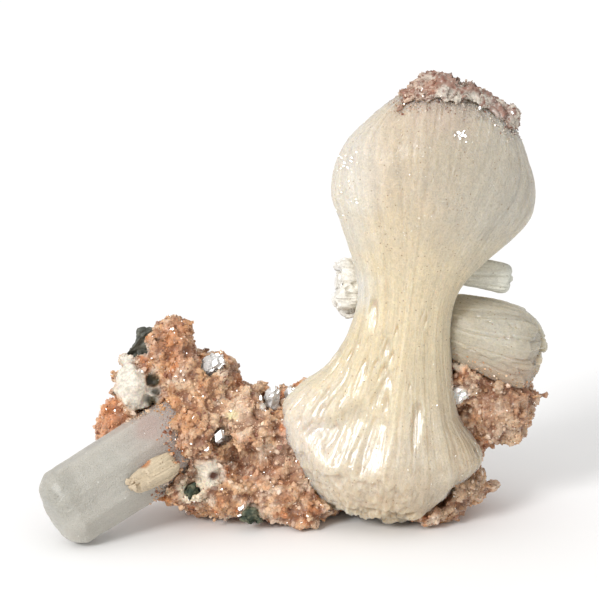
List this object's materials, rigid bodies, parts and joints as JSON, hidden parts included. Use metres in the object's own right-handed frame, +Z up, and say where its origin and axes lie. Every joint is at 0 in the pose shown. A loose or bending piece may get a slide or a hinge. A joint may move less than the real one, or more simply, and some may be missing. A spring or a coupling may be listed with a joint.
{
  "type": "stilbite specimen",
  "caption": "Bow-tie sheaf of cream stilbite standing in an orange drusy zeolite matrix, with a grey prism leaning out at the left; it rests on its flat underside.",
  "frame": {"origin": "a point on the matrix's flat underside, below the saddle between the orange mass and the sheaf's foot", "axes": "+Z up from the flat underside, +X to the right along the specimen's length, +Y to the back"},
  "size_m": [0.1012, 0.0426, 0.0909],
  "materials": {
    "stilbite": "pearly, translucent cream, glassy on the blade faces",
    "grey_stilbite": "frosted, translucent grey",
    "druse": "sugary orange crust of small glassy crystals",
    "crown_druse": "pinkish sugary crust with dark specks",
    "basalt": "dull near-black green, broken",
    "celadonite": "dull, earthy green",
    "clear_crystal": "clear and glassy"
  },
  "bodies": {
    "root": {"matrix": "druse", "crown_druse": "crown_druse", "main_sheaf": "stilbite", "side_fan": "stilbite", "side_blade": "stilbite", "left_spray": "stilbite", "cream_bud": "stilbite", "grey_prism": "grey_stilbite", "basalt_chip": "basalt", "celadonite_upper": "celadonite", "celadonite_lower": "celadonite", "clear_crystal_peak": "clear_crystal", "clear_crystal_shoulder": "clear_crystal", "clear_crystal_saddle": "clear_crystal", "clear_crystal_foot": "clear_crystal"}
  },
  "joints": []
}
